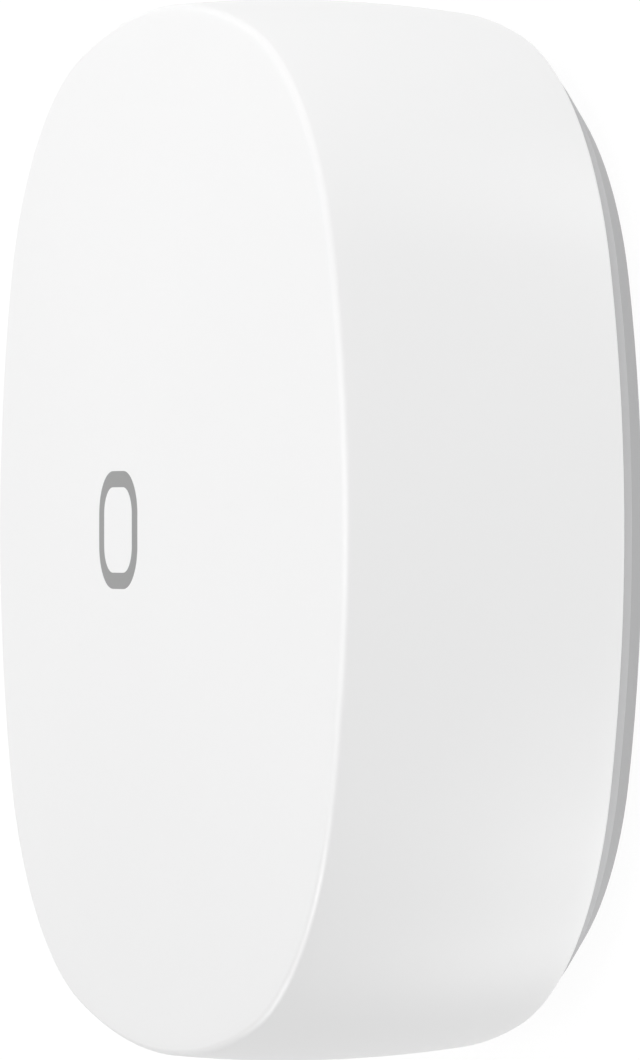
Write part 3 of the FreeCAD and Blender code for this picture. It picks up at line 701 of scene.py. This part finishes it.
nickel_steel = plated_metal("drawn_nickel_plated_steel", "#CFCDC8", 0.28, 0.05)
nickel_magnet = plated_metal("barrel_plated_nickel", "#D2CFC9", 0.24, 0.08, stretch=(1, 2, 1),
                             depth_mm=0.003)
spring_bronze = plated_metal("rolled_nickel_plated_bronze", "#D6CDB8", 0.3, 0.04,
                             stretch=(12, 12, 1))
zinc_steel = plated_metal("clear_zinc_plated_steel", "#C3C7CC", 0.34, 0.05, stretch=(1, 3, 1))
tinned_sheet = plated_metal("rolled_tinned_sheet", "#CDCBC5", 0.36, 0.06, stretch=(12, 12, 1))
stainless = plated_metal("rolled_stainless_sheet", "#C6C5C2", 0.3, 0.04, stretch=(1, 12, 12))
bright_tin = plated_metal("bright_tin_on_brass", "#D5D4D0", 0.3, 0.05, stretch=(1, 3, 1))
gold_lid = plated_metal("gold_flashed_lid", "#D9CDA4", 0.28, 0.05)

# %% [markdown]
# ## The circuit board
#
# A board is glass cloth in epoxy, with copper under a thin green lacquer. Over copper the lacquer
# looks lighter and stands a few hundredths of a millimetre proud. Square-cornered cells of uneven
# size stand for the copper areas, because a Voronoi texture measured in city blocks has such
# corners. Round dots on an even grid stand for the plated holes.

# %% Board
TRACK_MM = 0.8
HOLE_GRID_MM = 2.5
WEAVE_MM = 0.5
COPPER_STEP_MM = 0.03
TRACK_EDGE = (0.42, 0.46)
HOLE_EDGE = (0.1, 0.12)
LACQUER_GLOSS = (0.22, 0.38)
board, tree, shader = start_material("green_lacquer_over_copper")
shader.inputs["IOR"].default_value = 1.52
place = add(tree, "TexCoord").outputs["Object"]
cells = add(tree, "TexVoronoi", {"Vector": place, "Scale": 1 / (TRACK_MM * 2 * MM),
                                 "Randomness": 0.35}, distance="MANHATTAN")
track = add(tree, "MapRange", {"Value": cells.outputs["Distance"], "From Min": TRACK_EDGE[0],
                               "From Max": TRACK_EDGE[1]})
grid = add(tree, "TexVoronoi", {"Vector": place, "Scale": 1 / (HOLE_GRID_MM * MM),
                                "Randomness": 0.0})
hole = add(tree, "MapRange", {"Value": grid.outputs["Distance"], "From Min": HOLE_EDGE[0],
                              "From Max": HOLE_EDGE[1], "To Min": 1.0, "To Max": 0.0})
lacquer = add(tree, "Mix", {"Factor": track.outputs[0]}, data_type="RGBA")
lacquer.inputs["A"].default_value = linear("#1F7A48")
lacquer.inputs["B"].default_value = linear("#125A33")
skin_colour = add(tree, "Mix", {"Factor": hole.outputs[0], "A": lacquer.outputs["Result"]},
                  data_type="RGBA")
skin_colour.inputs["B"].default_value = linear("#D8CDA0")
tree.links.new(skin_colour.outputs["Result"], shader.inputs["Base Color"])
tree.links.new(hole.outputs[0], shader.inputs["Metallic"])
weave = add(tree, "TexNoise", {"Vector": place, "Scale": 1 / (WEAVE_MM * MM), "Detail": 3.0})
gloss = add(tree, "MapRange", {"Value": weave.outputs["Fac"], "To Min": LACQUER_GLOSS[0],
                               "To Max": LACQUER_GLOSS[1]})
tree.links.new(gloss.outputs[0], shader.inputs["Roughness"])
relief = add(tree, "Bump", {"Height": track.outputs[0], "Distance": COPPER_STEP_MM * MM,
                            "Strength": 1.0}, invert=True)
tree.links.new(relief.outputs[0], shader.inputs["Normal"])

# %% [markdown]
# ## Ceramic and resin
#
# Chip capacitors, resistors and the antenna are fired ceramic, with a fine chalky grain, and the lamp
# is a drop of clear resin filled with yellow phosphor. Ceramic is the plastics' function with other
# numbers, while resin lets some light in under its skin.

# %% Ceramics and the lamp
capacitor_ceramic = moulded_plastic("fired_capacitor_ceramic", "#B79B78", 0.45, 0.05, 0.003,
                                    tint=0.12, cloud_mm=0.5, ior=1.7)
resistor_ceramic = moulded_plastic("glazed_resistor_ceramic", "#3A3B40", 0.3, 0.05, 0.002,
                                   tint=0.2, cloud_mm=0.5, ior=1.6)
antenna_ceramic = moulded_plastic("fired_white_alumina", "#E1E3E0", 0.4, 0.05, 0.003,
                                  tint=0.05, cloud_mm=0.6, ior=1.7)
lamp_resin = moulded_plastic("phosphor_filled_resin", "#EEDC8A", 0.25, 0.05, 0.002,
                             tint=0.1, cloud_mm=0.3, ior=1.52)
lamp_shader = lamp_resin.node_tree.nodes["Principled BSDF"]
lamp_shader.inputs["Subsurface Weight"].default_value = 0.5
lamp_shader.inputs["Subsurface Radius"].default_value = (1, 0.8, 0.3)
lamp_shader.inputs["Subsurface Scale"].default_value = 0.2 * MM

# %% [markdown]
# ## Chips with tinned ends
#
# A chip capacitor or resistor is a ceramic block whose two ends are dipped in metal and tinned, so
# the ends stand a hair proud of the ceramic. The frame holds each chip as a plain block. Its loose
# blocks are measured here, and each is built again from three blocks with soft edges: the ceramic,
# and an end at each side of its long axis. The faces of the ends take a second material.

# %% Chips
END_SHARE = 0.24
END_PROUD = 0.02
CHIP_ROUND = 0.04


def loose_boxes(bm):
    """The lowest and highest corner of each loose part of a mesh."""
    boxes = []
    found = set()
    for first in bm.verts:
        if first in found:
            continue
        part = [first]
        found.add(first)
        for vert in part:
            for edge in vert.link_edges:
                other = edge.other_vert(vert)
                if other not in found:
                    found.add(other)
                    part.append(other)
        low = Vector([min(vert.co[axis] for vert in part) for axis in range(3)])
        high = Vector([max(vert.co[axis] for vert in part) for axis in range(3)])
        boxes.append((low, high))
    return boxes


def block(bm, low, high, material):
    """A block with soft edges between two corners, in this material slot."""
    alone = bmesh.new()
    bmesh.ops.create_cube(alone, size=1)
    bmesh.ops.scale(alone, vec=high - low, verts=alone.verts)
    bmesh.ops.translate(alone, vec=(low + high) / 2, verts=alone.verts)
    bmesh.ops.bevel(alone, geom=alone.edges[:], offset=CHIP_ROUND * MM, offset_type="OFFSET",
                    affect="EDGES", segments=2, profile=0.5, material=-1)
    settle_order(alone)
    for face in alone.faces:
        face.material_index = material
    add_to(bm, alone)


def tinned_chips(name, node_name):
    """The node's chips as ceramic blocks with tinned ends."""
    source = merged_copy(node_name)
    bm = bmesh.new()
    for low, high in loose_boxes(source):
        long_axis = 0 if high.x - low.x > high.y - low.y else 1
        along = Vector([float(axis == long_axis) for axis in range(3)])
        end = along * (high - low)[long_axis] * END_SHARE
        inset = (Vector((1, 1, 1)) - along) * END_PROUD * MM + end / 2
        block(bm, low + inset, high - inset, 0)
        block(bm, low, high - along * (high - low)[long_axis] + end, 1)
        block(bm, low + along * (high - low)[long_axis] - end, high, 1)
    source.free()
    piece = finished_piece(name, bm)
    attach(piece, "base")
    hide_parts(node_name)
    print(name, "has", len(piece.data.polygons), "faces")
    return piece


capacitors = tinned_chips("capacitors", "chip_capacitors")
resistors = tinned_chips("resistors", "chip_resistors")

# %% [markdown]
# ## The snap dome
#
# Under the switch's stem lies a small dished spring of stainless sheet. A press pushes the dish flat,
#  while its rim stays where it is. Shape keys or an armature could bend it. Here the dish is only
#  copied from the frame, with a mesh of its own, and it moves with the base.

snap_dome = finished_piece("snap_dome", merged_copy("switch_dome"))
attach(snap_dome, "base")
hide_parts("switch_dome")
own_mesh(snap_dome)

# %% [markdown]
# ## Every piece gets its finish
#
# The pieces made above have no slots yet and get one. The frame's own pieces keep their meshes, and
# only what is in their slots changes. Clearing the slots also sets every face back to the first one,
# so it is done only where there are slots: the ends of the chips keep their second one.

# %% Finishes
FINISHES = {
    white_abs: [skin],
    mark_abs: [mark],
    grey_abs: ["base_shell", "reset_button"],
    door_abs: ["battery_door"],
    clear_pc: ["light_guide"],
    nickel_steel: ["cell_can", "cell_lid"],
    gasket_pp: ["cell_gasket"],
    nickel_magnet: ["mount_magnets"],
    spring_bronze: ["side_contact", "top_contact"],
    board: ["main_board"],
    zinc_steel: ["board_screws"],
    tinned_sheet: ["shield_can"],
    black_epoxy: ["radio_chip"],
    gold_lid: ["crystal"],
    antenna_ceramic: ["chip_antenna"],
    lamp_resin: ["status_lamp"],
    capacitor_ceramic: [capacitors],
    resistor_ceramic: [resistors],
    black_nylon: ["switch_housing", "reset_switch_body"],
    stainless: ["switch_cover", snap_dome],
    white_acetal: ["switch_stem", "reset_switch_stem"],
    bright_tin: ["switch_leads"],
}
for material, pieces in FINISHES.items():
    for piece in pieces:
        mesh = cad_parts[piece].data if isinstance(piece, str) else piece.data
        if len(mesh.materials):
            mesh.materials.clear()
        mesh.materials.append(material)
for chips in (capacitors, resistors):
    chips.data.materials.append(bright_tin)
finished = {piece for pieces in FINISHES.values() for piece in pieces if isinstance(piece, str)}
replaced = {"button_cap", "mark_ring", "chip_capacitors", "chip_resistors", "switch_dome"}
print("without a finish:", sorted(set(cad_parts) - finished - replaced))
